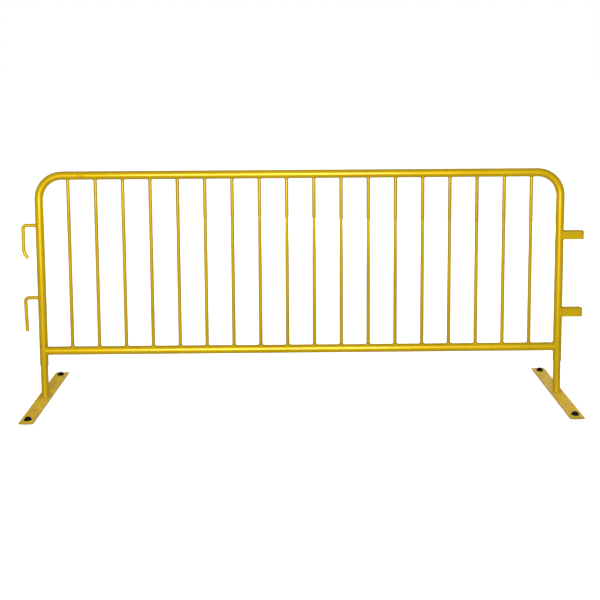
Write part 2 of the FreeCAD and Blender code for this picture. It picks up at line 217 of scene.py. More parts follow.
class BarrierScrewSettings(bpy.types.PropertyGroup):
    """Sizes of the clamp screws and weld nuts that the frame doesn't give."""

    thread_pitch: FloatProperty(
        name="Thread pitch", description="Coarse pitch of the M8 thread", unit="LENGTH",
        default=1.25 * MM)
    thread_depth: FloatProperty(
        name="Thread depth", description="Height of the thread", unit="LENGTH", default=0.68 * MM)
    shank_radius: FloatProperty(
        name="Shank radius", description="Outer radius of the thread", unit="LENGTH", default=3.98 * MM)
    bore_radius: FloatProperty(
        name="Bore radius", description="Radius of a weld nut's bore", unit="LENGTH", default=4.05 * MM)
    head_height: FloatProperty(
        name="Head height", description="Height of the hexagon head", unit="LENGTH", default=5.3 * MM)
    chamfer_angle: FloatProperty(
        name="Chamfer", description="Slope of the turned chamfer on the hexagons", subtype="ANGLE",
        default=math.radians(30))


class BarrierBumperSettings(bpy.types.PropertyGroup):
    """Sizes of a rubber bumper that the frame doesn't give."""

    stem_radius: FloatProperty(
        name="Stem radius", description="Neck that passes through the plate", unit="LENGTH",
        default=6.3 * MM)
    head_radius: FloatProperty(
        name="Head radius", description="Cap above the plate", unit="LENGTH", default=17 * MM)
    rim_height: FloatProperty(
        name="Rim height", description="Straight rim below the dome", unit="LENGTH", default=2.2 * MM)
    rounding: FloatProperty(
        name="Rounding", description="Rounded edge of the pad", unit="LENGTH", default=1.5 * MM)
    tread_rings: IntProperty(
        name="Tread rings", description="Grooves under the pad", default=3)


class BarrierStageSettings(bpy.types.PropertyGroup):
    """The camera and the lights."""

    camera_distance: FloatProperty(
        name="Camera distance", description="In front of the panel", unit="LENGTH", default=4.255)
    camera_height: FloatProperty(
        name="Camera height", description="Above the ground", unit="LENGTH", default=1.573)
    camera_left: FloatProperty(
        name="Camera left", description="Left of the panel's middle", unit="LENGTH", default=0.040)
    pitch: FloatProperty(
        name="Pitch", description="Camera tipped down", subtype="ANGLE", default=math.radians(5.57))
    yaw: FloatProperty(
        name="Yaw", description="Camera turned right", subtype="ANGLE", default=math.radians(0.54))
    roll: FloatProperty(
        name="Roll", description="Camera leaned right", subtype="ANGLE", default=math.radians(0.35))
    lens: FloatProperty(name="Lens", description="Focal length in millimetres", default=56.15)
    rise: FloatProperty(name="Shift", description="Vertical shift of the lens", default=-0.25)
    key_power: FloatProperty(
        name="Key light", description="Power of the large light in front", default=130)
    band_power: FloatProperty(
        name="Band light", description="Power of the narrow light in front", default=30)
    overhead_power: FloatProperty(
        name="Overhead light", description="Power of the light above", default=8)
    back_power: FloatProperty(name="Back fill", description="Power of the light behind", default=85)
    ambient: FloatProperty(name="Ambient", description="Even light from all round", default=0.63)
    dark_room: FloatProperty(
        name="Room", description="Brightness that glossy surfaces reflect", default=0.10)


# Writing node trees.


class Socket:
    """A node's output. Arithmetic on it adds Math nodes to its tree."""

    def __init__(self, tree, socket):
        self.tree = tree
        self.socket = socket

    def output(self, name):
        """Another output of the same node."""
        return Socket(self.tree, pick(self.socket.node.outputs, name))

    def maths(self, operation, *values, first=None):
        """A Math node on this output, which comes second where another value is first."""
        numbers = (self, *values) if first is None else (first, self)
        return self.tree.add("ShaderNodeMath", {"operation": operation}, dict(enumerate(numbers)))

    def __add__(self, other):
        return self.maths("ADD", other)

    def __sub__(self, other):
        return self.maths("SUBTRACT", other)

    def __rsub__(self, other):
        return self.maths("SUBTRACT", first=other)

    def __mul__(self, other):
        return self.maths("MULTIPLY", other)

    def __truediv__(self, other):
        return self.maths("DIVIDE", other)

    def __abs__(self):
        return self.maths("ABSOLUTE")

    __radd__ = __add__
    __rmul__ = __mul__

    def step(self, start, end):
        """A soft step from 0 at start to 1 at end, and it falls where end is below start."""
        settings = {"interpolation_type": "SMOOTHSTEP"}
        return self.tree.add(
            "ShaderNodeMapRange", settings, {"Value": self, "From Min": start, "From Max": end})


def pick(sockets, key):
    """A node's socket by its number, identifier or name."""
    if isinstance(key, int):
        return sockets[key]
    for socket in sockets:
        if socket.identifier == key:
            return socket
    return sockets[key]


class Tree:
    """A node tree that is being written."""

    def __init__(self, nodes):
        self.nodes = nodes

    def add(self, kind, settings=None, inputs=None, output=0):
        """Adds a node with its settings and its sockets' values or links. Returns one of its outputs."""
        node = self.nodes.nodes.new(kind)
        for name, value in (settings or {}).items():
            setattr(node, name, value)
        for key, value in (inputs or {}).items():
            socket = pick(node.inputs, key)
            if isinstance(value, Socket):
                self.nodes.links.new(value.socket, socket)
            elif socket.type == "RGBA":
                socket.default_value = (*value[:3], 1)
            else:
                socket.default_value = value
        return Socket(self, pick(node.outputs, output)) if len(node.outputs) else None

    def mix(self, factor, first, second):
        """A colour between two colours."""
        return self.add(
            "ShaderNodeMix", {"data_type": "RGBA"},
            {"Factor_Float": factor, "A_Color": first, "B_Color": second}, "Result_Color")

    def noise(self, place, size, detail=2.0, roughness=0.5, seed=0.0):
        """Noise from 0 to 1 whose features are about size apart."""
        return self.add(
            "ShaderNodeTexNoise", {"noise_dimensions": "4D"},
            {"Vector": place, "W": seed, "Scale": 1 / size, "Detail": detail, "Roughness": roughness})

    def stretched(self, place, factors):
        """A place scaled along X, Y and Z."""
        return self.add("ShaderNodeVectorMath", {"operation": "MULTIPLY"}, {0: place, 1: factors})

    def near(self, place, point, reach):
        """1 round a point, and 0 past its reach."""
        distance = self.add(
            "ShaderNodeVectorMath", {"operation": "DISTANCE"}, {0: place, 1: point}, "Value")
        full_inside = 0.35 * reach
        return distance.step(reach, full_inside)


class Material(Tree):
    """A material with one Principled shader, and the places that its patterns are made from."""

    def __init__(self, name):
        self.material = bpy.data.materials.new(name)
        self.material.use_nodes = True
        super().__init__(self.material.node_tree)
        self.nodes.nodes.clear()
        self.place = self.add("ShaderNodeTexCoord", output="Object")
        self.facing = self.add("ShaderNodeSeparateXYZ", {}, {0: self.place.output("Normal")}).output("Z")
        self.x = self.add("ShaderNodeSeparateXYZ", {}, {0: self.place})
        self.y = self.x.output("Y")
        self.z = self.x.output("Z")

    def finish(self, height, inputs):
        """Ends the material: height is a relief in millimetres and inputs go to the Principled shader."""
        relief = self.add("ShaderNodeBump", {}, {"Height": height, "Distance": MM, "Strength": 1.0})
        surface = self.add("ShaderNodeBsdfPrincipled", {}, {**inputs, "Normal": relief})
        self.add("ShaderNodeOutputMaterial", {}, {"Surface": surface})
        return self.material


# Materials. Steps and mixes run from 0 to 1, and sizes are in metres.

WEAK_SPECULAR = 0.15


def brighter(colour, times):
    """A colour with its channels multiplied."""
    return [channel * times for channel in colour]


def powder_coat(name, coat, colours, rubbed=(), rubbed_reach=50 * MM, wear=0.0, dirt=0.0, marks=()):
    """Powder coat over steel, in a light colour and a deep one.

    It chips round the rubbed points, the more so with wear. Dirt lies low down, painted shade streaked
    like dirt lies in the corners over the bottom rail, and marks are dark spots.
    """
    made = Material(name)
    light, deep = colours
    thin = made.noise(made.place, 350 * MM, 3.0, 0.55, seed=1.0)
    cloud = made.noise(made.place, 22 * MM, 4.0, 0.6, seed=2.0)
    streak = made.noise(made.stretched(made.place, (1, 1, 0.12)), 12 * MM, 3.0, 0.6, seed=3.0)
    colour = made.mix(thin.step(0.3, 0.75), light, deep)
    colour = made.mix(cloud.step(0.52, 0.8) * (0.35 + dirt), colour, deep)

    # Painted shade and dirt: a streaked dark band over the top of the bottom rail and the lowest 30 mm of
    # the pickets and posts above it stands in for the shade in those corners.
    rail_top = BOTTOM_RAIL + TUBE_RADIUS
    corner_shade_and_dirt = made.z.step(rail_top + 30 * MM, rail_top) * made.z.step(rail_top - 6 * MM, rail_top)
    splashed = made.z.step(420 * MM, 0)
    grime_and_shade = (corner_shade_and_dirt * 0.55 + splashed * (0.2 + dirt)) * streak.step(0.38, 0.78)
    colour = made.mix(grime_and_shade, colour, coat.grime_and_shade)

    used = 0.0
    for point in rubbed:
        used = made.near(made.place, point, rubbed_reach).maths("MAXIMUM", used)
    flake = made.noise(made.place, 6 * MM, 4.0, 0.62, seed=4.0) + used * (0.13 * coat.wear + 0.1 * wear)
    chipped = flake.step(0.755, 0.775)
    rim = flake.step(0.725, 0.755) - chipped
    mottle = made.noise(made.place, 1.6 * MM, 2.0, seed=5.0)
    steel = made.mix(mottle.step(0.4, 0.7), coat.bare_steel, brighter(coat.bare_steel, 2.2))
    colour = made.mix(rim * 0.35, colour, coat.grime_and_shade)
    colour = made.mix(chipped, colour, steel)
    for point, size in marks:
        ragged = made.near(made.place, point, size) + streak * 0.4
        colour = made.mix(ragged.step(0.6, 0.9) * 0.85, colour, coat.grime_and_shade)

    peel = made.noise(made.place, coat.peel_size, 1.5, 0.45, seed=6.0)
    waves = made.noise(made.place, 14 * MM, 2.0, 0.5, seed=7.0)
    height = peel * (coat.peel_height / MM) + waves * 0.05 - chipped * 0.07
    rough = coat.gloss_roughness + cloud * 0.12 + grime_and_shade * 0.35 + chipped * 0.3 + dirt * 0.12
    return made.finish(height, {
        "Base Color": colour, "Roughness": rough, "Metallic": coat.metallic,
        "Specular IOR Level": WEAK_SPECULAR,
        "Coat Weight": coat.clear_weight, "Coat Roughness": coat.clear_roughness})


def foot_coat(name, coat, plate):
    """A foot plate's coat: duller, trodden and scraped, worn through along the plate's edges, with
    painted shade on its upright sides.
    """
    made = Material(name)
    centre, half = middle(plate), extent(plate) / 2
    blotch = made.noise(made.place, 35 * MM, 5.0, 0.66, seed=11.0)
    cloud = made.noise(made.place, 16 * MM, 4.0, 0.6, seed=12.0)
    colour = made.mix(blotch.step(0.36, 0.7), coat.mustard, coat.deep_mustard)
    colour = made.mix(cloud.step(0.55, 0.8) * 0.4, colour, coat.yellow)

    scrape = made.noise(made.stretched(made.place, (1, 0.09, 1)), 2.2 * MM, 3.0, 0.6, seed=13.0)
    scrape = scrape.step(0.66, 0.7) * blotch.step(0.45, 0.65)
    colour = made.mix(scrape * 0.45, colour, coat.deep_mustard)

    side = abs(made.x - centre.x).step(half.x - 4 * MM, half.x)
    end = abs(made.y - centre.y).step(half.y - 6 * MM, half.y)
    edge = side.maths("MAXIMUM", end) * made.z.step(PLATE_TOP + 4 * MM, PLATE_TOP + 1 * MM)
    flake = made.noise(made.place, 7 * MM, 4.0, 0.62, seed=14.0) + edge * (0.05 + 0.22 * coat.wear)
    chipped = flake.step(0.745, 0.765)
    steel = made.mix(cloud.step(0.4, 0.65), coat.bare_steel, brighter(coat.bare_steel, 2))
    colour = made.mix((flake.step(0.7, 0.745) - chipped) * 0.4, colour, coat.grime_and_shade)
    colour = made.mix(chipped, colour, steel)

    sand = (0.5, 0.4, 0.15)
    dust = made.noise(made.place, 30 * MM, 5.0, 0.65, seed=15.0).step(0.4, 0.75)
    dust = made.facing.step(0.5, 0.9) * dust * made.z.step(PLATE_TOP + 20 * MM, PLATE_TOP)
    colour = made.mix(dust * 0.15, colour, sand)
    # Painted shade: the plate's upright sides are darkened, standing in for the shade on faces turned
    # away from the light above.
    upright = 1 - made.facing.step(0.3, 0.7)
    colour = made.mix(upright * (0.5 + 0.3 * blotch), colour, coat.grime_and_shade)
    stain = made.noise(made.place, 35 * MM, 5.0, 0.65, seed=17.0).step(0.55, 0.75)
    colour = made.mix(stain * 0.4, colour, coat.rust)
    # Darker round the foot of the stub, in the corner where it stands on the plate.
    corner = made.near(made.place, (centre.x, centre.y, PLATE_TOP), 45 * MM) * cloud.step(0.3, 0.6)
    colour = made.mix(corner * 0.45, colour, coat.grime_and_shade)

    peel = made.noise(made.place, coat.peel_size, 1.5, 0.45, seed=16.0)
    height = peel * (coat.peel_height / MM) + blotch * 0.15 - chipped * 0.08 - scrape * 0.03
    rough = coat.gloss_roughness + 0.12 + cloud * 0.14 + dust * 0.25 + chipped * 0.25
    return made.finish(height, {
        "Base Color": colour, "Roughness": rough, "Metallic": coat.metallic * 0.3,
        "Specular IOR Level": WEAK_SPECULAR})


def weld_coat(name, coat, colours):
    """Powder coat over a weld bead: thin in places, sooty, rust-stained and full of pinholes."""
    made = Material(name)
    thin = made.noise(made.place, 4 * MM, 3.0, 0.6, seed=21.0)
    soot = made.noise(made.place, 11 * MM, 3.0, 0.6, seed=22.0)
    colour = made.mix(thin.step(0.35, 0.7), *colours)
    colour = made.mix(soot.step(0.56, 0.74) * 0.5, colour, coat.grime_and_shade)
    stain = made.noise(made.place, 20 * MM, 3.0, 0.6, seed=25.0).step(0.5, 0.7)
    colour = made.mix(stain * 0.45, colour, coat.rust)
    pinhole = made.noise(made.place, 1.2 * MM, 1.0, 0.5, seed=23.0).step(0.7, 0.76)
    colour = made.mix(pinhole, colour, coat.bare_steel)
    height = made.noise(made.place, 1.6 * MM, 2.0, 0.5, seed=24.0) * 0.09 - pinhole * 0.12
    rough = coat.gloss_roughness + 0.02 + soot * 0.15 + pinhole * 0.3
    return made.finish(height, {
        "Base Color": colour, "Roughness": rough, "Metallic": coat.metallic,
        "Specular IOR Level": WEAK_SPECULAR,
        "Coat Weight": coat.clear_weight, "Coat Roughness": coat.clear_roughness})


def bumper_rubber(name, coat):
    """Moulded black rubber with a fine grain, small nicks and dust on its upper faces."""
    made = Material(name)
    bloom = made.noise(made.place, 12 * MM, 4.0, 0.6, seed=31.0)
    grain = made.noise(made.place, 0.7 * MM, 2.0, 0.6, seed=32.0)
    dust_colour = (0.22, 0.18, 0.12)
    dust = made.noise(made.place, 6 * MM, 5.0, 0.7, seed=33.0).step(0.48, 0.8)
    dust = made.facing.step(0.2, 0.95) * dust
    colour = made.mix(bloom.step(0.4, 0.7) * 0.5, coat.rubber, brighter(coat.rubber, 2.2))
    colour = made.mix(dust * 0.07, colour, dust_colour)
    nick = made.noise(made.place, 4 * MM, 3.0, 0.6, seed=34.0).step(0.7, 0.74)
    height = grain * 0.05 + bloom * 0.1 - nick * 0.12
    rough = 0.5 + bloom * 0.2 + dust * 0.2
    return made.finish(
        height, {"Base Color": colour, "Roughness": rough, "Specular IOR Level": WEAK_SPECULAR})


def zinc_plate(name, coat):
    """Bright zinc with a faint straw tint and dull spots of white bloom."""
    made = Material(name)
    straw, white_bloom = (0.62, 0.55, 0.38), (0.7, 0.7, 0.68)
    spangle = made.noise(made.place, 3 * MM, 3.0, 0.6, seed=41.0)
    tint = made.noise(made.place, 8 * MM, 2.0, 0.5, seed=42.0)
    bloom = made.noise(made.place, 2.2 * MM, 4.0, 0.65, seed=43.0).step(0.6, 0.75)
    colour = made.mix(tint.step(0.35, 0.7) * 0.6, coat.zinc, straw)
    colour = made.mix(bloom * 0.5, colour, white_bloom)
    height = made.noise(made.place, 0.5 * MM, 2.0, 0.5, seed=44.0) * 0.012 + spangle * 0.02
    rough = 0.24 + spangle * 0.2 + bloom * 0.3
    return made.finish(height, {"Base Color": colour, "Roughness": rough, "Metallic": 1 - bloom * 0.6})


def hidden_coat(name, coat):
    """The thin, uneven coat on the plugs inside the posts."""
    made = Material(name)
    thin = made.noise(made.place, 9 * MM, 4.0, 0.6, seed=51.0)
    colour = made.mix(thin.step(0.35, 0.7), coat.deep_yellow, coat.bare_steel)
    rough = 0.4 + thin * 0.3
    return made.finish(thin * 0.1, {"Base Color": colour, "Roughness": rough})


def paint(node, material):
    """Gives a CAD node a material in its object's first slot."""
    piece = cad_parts[node]
    if not piece.material_slots:
        piece.data.materials.append(material)
    for slot in piece.material_slots:
        slot.link = "OBJECT"
        slot.material = material


# Meshes.


def outward(mesh):
    """Merges a mesh's doubles and turns its faces outwards."""
    shape = bmesh.new()
    shape.from_mesh(mesh)
    bmesh.ops.remove_doubles(shape, verts=shape.verts, dist=0.5e-6)
    bmesh.ops.recalc_face_normals(shape, faces=shape.faces)
    shape.to_mesh(mesh)
    shape.free()
    return mesh


def ringed(rings, closed=False):
    """Faces through rings of points, where a ring of one point is a pole. Returns a new mesh."""
    shape = bmesh.new()
    rows = [[shape.verts.new(point) for point in ring] for ring in rings]
    pairs = list(zip(rows, rows[1:]))
    if closed:
        pairs.append((rows[-1], rows[0]))
    for below, above in pairs:
        count = max(len(below), len(above))
        for i in range(count):
            j = (i + 1) % count
            corners = [below[i % len(below)], below[j % len(below)]]
            corners += [above[j % len(above)], above[i % len(above)]]
            shape.faces.new(list(dict.fromkeys(corners)))
    mesh = bpy.data.meshes.new("rings")
    shape.to_mesh(mesh)
    shape.free()
    return mesh


def sharpen(mesh, angle):
    """Smooth shading that breaks where faces meet at more than an angle."""
    shape = bmesh.new()
    shape.from_mesh(mesh)
    for face in shape.faces:
        face.smooth = True
    for edge in shape.edges:
        edge.smooth = len(edge.link_faces) == 2 and edge.calc_face_angle() < angle
    shape.to_mesh(mesh)
    shape.free()


def joined(meshes):
    """One mesh made of several closed ones."""
    shape = bmesh.new()
    for mesh in meshes:
        shape.from_mesh(mesh)
        bpy.data.meshes.remove(mesh)
    mesh = bpy.data.meshes.new("joined")
    shape.to_mesh(mesh)
    shape.free()
    return mesh


def add_piece(name, mesh, material, body, slot, stands_for=()):
    """Puts a finished mesh in the scene as a piece of the barrier."""
    mesh.name = name
    if not mesh.materials:
        mesh.materials.append(material)
    piece = bpy.data.objects.new(name, mesh)
    bpy.context.scene.collection.objects.link(piece)
    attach(piece, body)
    if stands_for:
        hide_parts(*stands_for)


def grown(name, mesh, tree, values):
    """Runs a Geometry Nodes tree on a mesh with the named values. Returns the plain mesh it makes."""
    source = bpy.data.objects.new(name, mesh)
    bpy.context.scene.collection.objects.link(source)
    modifier = source.modifiers.new("Growth", "NODES")
    modifier.node_group = tree
    inputs = [item for item in tree.interface.items_tree if item.in_out == "INPUT"]
    identifiers = {item.name: item.identifier for item in inputs}
    for label, value in values.items():
        modifier[identifiers[label]] = value
    graph = bpy.context.evaluated_depsgraph_get()
    result = bpy.data.meshes.new_from_object(source.evaluated_get(graph), depsgraph=graph)
    source.modifiers.remove(modifier)
    bpy.data.objects.remove(source)
    bpy.data.meshes.remove(mesh)
    return result


class GeometryTree(Tree):
    """A Geometry Nodes group with named inputs."""

    def __init__(self, name, sizes):
        group = bpy.data.node_groups.new(name, "GeometryNodeTree")
        group.interface.new_socket("Geometry", in_out="INPUT", socket_type="NodeSocketGeometry")
        for label in sizes:
            group.interface.new_socket(label, in_out="INPUT", socket_type="NodeSocketFloat")
        group.interface.new_socket("Geometry", in_out="OUTPUT", socket_type="NodeSocketGeometry")
        super().__init__(group)
        self.geometry = self.add("NodeGroupInput")

    def size(self, label):
        """One of the group's named inputs."""
        return self.geometry.output(label)

    def finish(self, geometry, material):
        """Realizes the instances, sets the material and ends the group."""
        smooth = self.add("GeometryNodeSetShadeSmooth", {}, {"Geometry": geometry})
        plain = self.add("GeometryNodeRealizeInstances", {}, {"Geometry": smooth})
        coated = self.add("GeometryNodeSetMaterial", {}, {"Geometry": plain, "Material": material})
        self.add("NodeGroupOutput", {}, {"Geometry": coated})
        return self.nodes


# Weld beads.


def bead_tree(material):
    """Grows a rippled, lumpy bead along each loop of edges, as wide as the loop's bead_radius says."""
    tree = GeometryTree("Weld bead", ("Step", "Ripple pitch", "Ripple depth", "Lumps", "Seed"))
    seam = tree.add("GeometryNodeMeshToCurve", {}, {"Mesh": tree.geometry})
    seam = tree.add(
        "GeometryNodeResampleCurve", {"mode": "LENGTH"}, {"Curve": seam, "Length": tree.size("Step")})
    length = tree.add("GeometryNodeSplineLength")
    ripples = (length / tree.size("Ripple pitch")).maths("ROUND")
    along = tree.add("GeometryNodeSplineParameter", output="Factor")
    crest = abs((along * ripples * math.pi).maths("SINE"))
    place = tree.add("GeometryNodeInputPosition")
    swell = tree.noise(place, 11 * MM, 2.0, 0.6, seed=tree.size("Seed"))
    radius = tree.add("GeometryNodeInputNamedAttribute", {"data_type": "FLOAT"}, {"Name": "bead_radius"})
    radius = radius * (1 - tree.size("Ripple depth") * (1 - crest))
    radius = radius * (1 + tree.size("Lumps") * (swell - 0.5))
    section = tree.add(
        "GeometryNodeCurvePrimitiveCircle", {"mode": "RADIUS"}, {"Resolution": 12, "Radius": 1.0})
    bead = tree.add(
        "GeometryNodeCurveToMesh", {}, {"Curve": seam, "Profile Curve": section, "Scale": radius})
    pits = tree.noise(place, 2.5 * MM, 2.0, 0.6, seed=tree.size("Seed") + 5)
    pit_depth = 0.9 * MM
    push = tree.add(
        "ShaderNodeVectorMath", {"operation": "SCALE"},
        {0: tree.add("GeometryNodeInputNormal"), "Scale": (pits - 0.5) * pit_depth})
    bead = tree.add("GeometryNodeSetPosition", {}, {"Geometry": bead, "Offset": push})
    return tree.finish(bead, material)


def seam_mesh(seams):
    """A mesh of closed loops of edges. Each seam is a pair of its points and its bead's radius."""
    mesh = bpy.data.meshes.new("seams")
    points, edges, radii = [], [], []
    for loop, radius in seams:
        first = len(points)
        points += loop
        edges += [(first + i, first + (i + 1) % len(loop)) for i in range(len(loop))]
        radii += [radius] * len(loop)
    mesh.from_pydata(points, edges, [])
    mesh.attributes.new("bead_radius", "FLOAT", "POINT").data.foreach_set("value", radii)
    return mesh


def round_seam(point_at, count=96):
    """The points of a closed seam from a function of its angle."""
    return [point_at(FULL_TURN * i / count) for i in range(count)]


def saddle(reach):
    """How far a tube's surface stands from its axis, at a distance from the plane through that axis."""
    return math.sqrt(max(TUBE_RADIUS ** 2 - reach ** 2, 0))


def picket_seam(x, rail, side):
    """Where a picket meets a rail: side is 1 on top of the rail and -1 under it."""

    def point_at(angle):
        y = PICKET_RADIUS * math.sin(angle)
        return x + PICKET_RADIUS * math.cos(angle), y, rail + side * saddle(y)

    return round_seam(point_at)


def rail_seam(post, side):
    """Where the bottom rail meets a post of its own size: side is 1 to the right of the post."""
    turning = 4 * MM  # how far the seam stays off the post's middle, in front and at the back

    def point_at(angle):
        rise = TUBE_RADIUS * math.cos(angle)
        reach = math.hypot(rise, turning)
        return post + side * reach, TUBE_RADIUS * math.sin(angle), BOTTOM_RAIL + rise

    return round_seam(point_at, count=160)


def hook_seam(height):
    """Where a hook's arm meets the outer side of the left post."""

    def point_at(angle):
        y = HOOK_RADIUS * math.sin(angle)
        return LEFT_POST - saddle(y), y, height + HOOK_RADIUS * math.cos(angle)

    return round_seam(point_at)


def loop_seam(node, side):
    """Where one leg of a loop meets the right post: side is -1 for the front leg."""
    low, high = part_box(node)
    bar_thickness, sink, margin = 6.35 * MM, 1.6 * MM, 0.5 * MM
    across_steps, upright_steps = 6, 24
    inner_face = high.y - bar_thickness
    outside = Vector((low.x - margin, side * (TUBE_RADIUS - sink)))
    inside = Vector((RIGHT_POST + saddle(inner_face), side * inner_face))
    top, bottom = high.z + margin, low.z - margin

    def across(z):
        return [(*outside.lerp(inside, i / across_steps), z) for i in range(across_steps + 1)]

    def upright(corner, start, end):
        return [(*corner, start + (end - start) * i / upright_steps) for i in range(1, upright_steps)]

    down, up = upright(inside, top, bottom), upright(outside, bottom, top)
    return across(top) + down + across(bottom)[::-1] + up


def stub_seam(post):
    """Where a foot's stub stands on its plate."""
    radius = extent("left_foot_stub").y / 2

    def point_at(angle):
        return post + radius * math.cos(angle), radius * math.sin(angle), PLATE_TOP

    return round_seam(point_at)


def nut_seam(side):
    """Where a weld nut sits on the back of its post."""
    nut = f"{side}_weld_nut"
    centre = middle(nut)
    tucked_in, lift = 0.94, 0.2 * MM
    radius = extent(nut).x / 2 * tucked_in

    def point_at(angle):
        x = radius * math.cos(angle)
        return centre.x + x, saddle(x) + lift, centre.z + radius * math.sin(angle)

    return round_seam(point_at, count=60)


def frame_seams(weld):
    """Every welded seam of the panel, with its bead's radius."""
    seams = []
    for picket in PICKETS:
        x = middle(picket).x
        seams.append((picket_seam(x, BOTTOM_RAIL, 1), weld.picket_foot_bead))
        seams.append((picket_seam(x, TOP_RAIL, -1), weld.picket_head_bead))
    seams.append((rail_seam(LEFT_POST, 1), weld.rail_bead))
    seams.append((rail_seam(RIGHT_POST, -1), weld.rail_bead))
    seams += [(hook_seam(hook_arm(hook)), weld.hook_bead) for hook in HOOKS]
    seams += [(loop_seam(loop, side), weld.loop_bead) for loop in LOOPS for side in (-1, 1)]
    seams += [(nut_seam(side), weld.nut_bead) for side in SIDES]
    return seams


def spatter_tree(material):
    """Puts a round drop of random size on each point."""
    tree = GeometryTree("Weld spatter", ("Drop size",))
    points = tree.add("GeometryNodeMeshToPoints", {}, {"Mesh": tree.geometry})
    drop = tree.add(
        "GeometryNodeMeshIcoSphere", {}, {"Radius": tree.size("Drop size"), "Subdivisions": 2})
    scale = tree.add(
        "FunctionNodeRandomValue", {"data_type": "FLOAT"},
        {"Min_001": 0.35, "Max_001": 1.0, "Seed": 3}, "Value_001")
    drops = tree.add(
        "GeometryNodeInstanceOnPoints", {}, {"Points": points, "Instance": drop, "Scale": scale})
    return tree.finish(drops, material)


def spatter_points(weld):
    """Points on the bottom rail beside the pickets' feet, where drops of spatter stuck."""
    dice = random.Random(17)
    scatter, spread, sink = 9 * MM, 0.75, 0.15
    nearest = PICKET_RADIUS + weld.picket_foot_bead
    radius = TUBE_RADIUS - sink * weld.spatter_size
    points = []
    for picket in PICKETS:
        centre = middle(picket).x
        for _ in range(weld.spatter_drops):
            reach = dice.choice((-1, 1)) * (nearest + dice.expovariate(1 / scatter))
            angle = dice.gauss(0, spread)
            y, z = radius * math.sin(angle), BOTTOM_RAIL + radius * math.cos(angle)
            points.append((centre + reach, y, z))
    mesh = bpy.data.meshes.new("drops")
    mesh.from_pydata(points, [], [])
    return mesh


# Screws and nuts. Their rings have a multiple of six points, so that a hexagon's corners are among them.

RING_POINTS = 72
TURNED_EDGE = math.radians(24)
CHAMFER_CIRCLE = 0.95  # where the chamfer starts, as a share of the hexagon's inner radius


def thread_tree(material):
    """Cuts a coarse thread into a rod along Z, with a chamfer at both ends."""
    tree = GeometryTree("Screw thread", ("Radius", "Depth", "Pitch", "Length"))
    rows_per_pitch, flank_slope, crest_width, chamfer_depth = 10, 1.3, 0.15, 1.2
    rows = (tree.size("Length") / tree.size("Pitch") * rows_per_pitch).maths("ROUND")
    rod = tree.add("GeometryNodeMeshCylinder", {"fill_type": "TRIANGLE_FAN"}, {
        "Vertices": 40, "Side Segments": rows,
        "Radius": tree.size("Radius"), "Depth": tree.size("Length")})
    place = tree.add("GeometryNodeInputPosition")
    x = tree.add("ShaderNodeSeparateXYZ", {}, {0: place})
    y, z = x.output("Y"), x.output("Z")
    turn = y.maths("ARCTAN2", x) / FULL_TURN
    phase = (z / tree.size("Pitch") - turn).maths("FRACT")
    groove = (abs(phase * 2 - 1) * flank_slope - crest_width).maths("MAXIMUM", 0.0).maths("MINIMUM", 1.0)
    to_end = tree.size("Length") / 2 - abs(z)
    chamfer = (tree.size("Depth") * chamfer_depth - to_end).maths("MAXIMUM", 0.0)
    inset = (groove * tree.size("Depth")).maths("MAXIMUM", chamfer)
    flat = tree.add("ShaderNodeVectorMath", {"operation": "MULTIPLY"}, {0: place, 1: (1, 1, 0)})
    inwards = inset / tree.size("Radius") * -1
    push = tree.add("ShaderNodeVectorMath", {"operation": "SCALE"}, {0: flat, "Scale": inwards})
    rod = tree.add("GeometryNodeSetPosition", {}, {"Geometry": rod, "Offset": push})
    return tree.finish(rod, material)


def hexagon_radius(across, angle):
    """The distance from a hexagon's centre to its outline, with points at 0, 60, 120 degrees and on."""
    sixth = FULL_TURN / 6
    return across / 2 / math.cos(angle % sixth - sixth / 2)


def circle_points(radius, count):
    """The two coordinates of each point round a circle about zero."""
    angles = [FULL_TURN * i / count for i in range(count)]
    return [(radius * math.cos(a), radius * math.sin(a)) for a in angles]


def circle_ring(radius, y, centre):
    """Points of a circle in a plane across Y."""
    return [(centre.x + x, y, centre.z + z) for x, z in circle_points(radius, RING_POINTS)]


def hexagon_ring(across, centre, level_at):
    """Points of a hexagon's outline along Y, where level_at gives a point's Y from its radius."""
    points = []
    for i in range(RING_POINTS):
        angle = FULL_TURN * i / RING_POINTS
        radius = hexagon_radius(across, angle)
        points.append(
            (centre.x + radius * math.cos(angle), level_at(radius), centre.z + radius * math.sin(angle)))
    return points


def hexagon_head(centre, across, start, end, slope):
    """A screw's hexagon head along Y, with a round face under it, a turned chamfer and a dished end."""
    flat = across / 2 * CHAMFER_CIRCLE
    seat, dish_rim, dish_floor = 0.96 * flat, 0.8 * flat, 0.72 * flat
    seat_height, dish = 0.4 * MM, 0.25 * MM
    rise = math.tan(slope)
    rings = [
        [(centre.x, start, centre.z)],
        circle_ring(seat, start, centre),
        circle_ring(seat, start + seat_height, centre),
        hexagon_ring(across, centre, lambda radius: start + seat_height),
        hexagon_ring(across, centre, lambda radius: end - (radius - flat) * rise),
        circle_ring(flat, end, centre),
        circle_ring(dish_rim, end, centre),
        circle_ring(dish_floor, end - dish, centre),
        [(centre.x, end - dish, centre.z)],
    ]
    return ringed(rings)


def hexagon_nut(centre, across, start, end, bore, slope):
    """A weld nut along Y: flat against the post, chamfered outside, with a countersunk bore."""
    flat = across / 2 * CHAMFER_CIRCLE
    sink = 0.6 * MM
    rise = math.tan(slope)
    rings = [
        circle_ring(bore, start, centre),
        hexagon_ring(across, centre, lambda radius: start),
        hexagon_ring(across, centre, lambda radius: end - (radius - flat) * rise),
        circle_ring(flat, end, centre),
        circle_ring(bore + sink, end, centre),
        circle_ring(bore, end - sink, centre),
    ]
    return ringed(rings, closed=True)


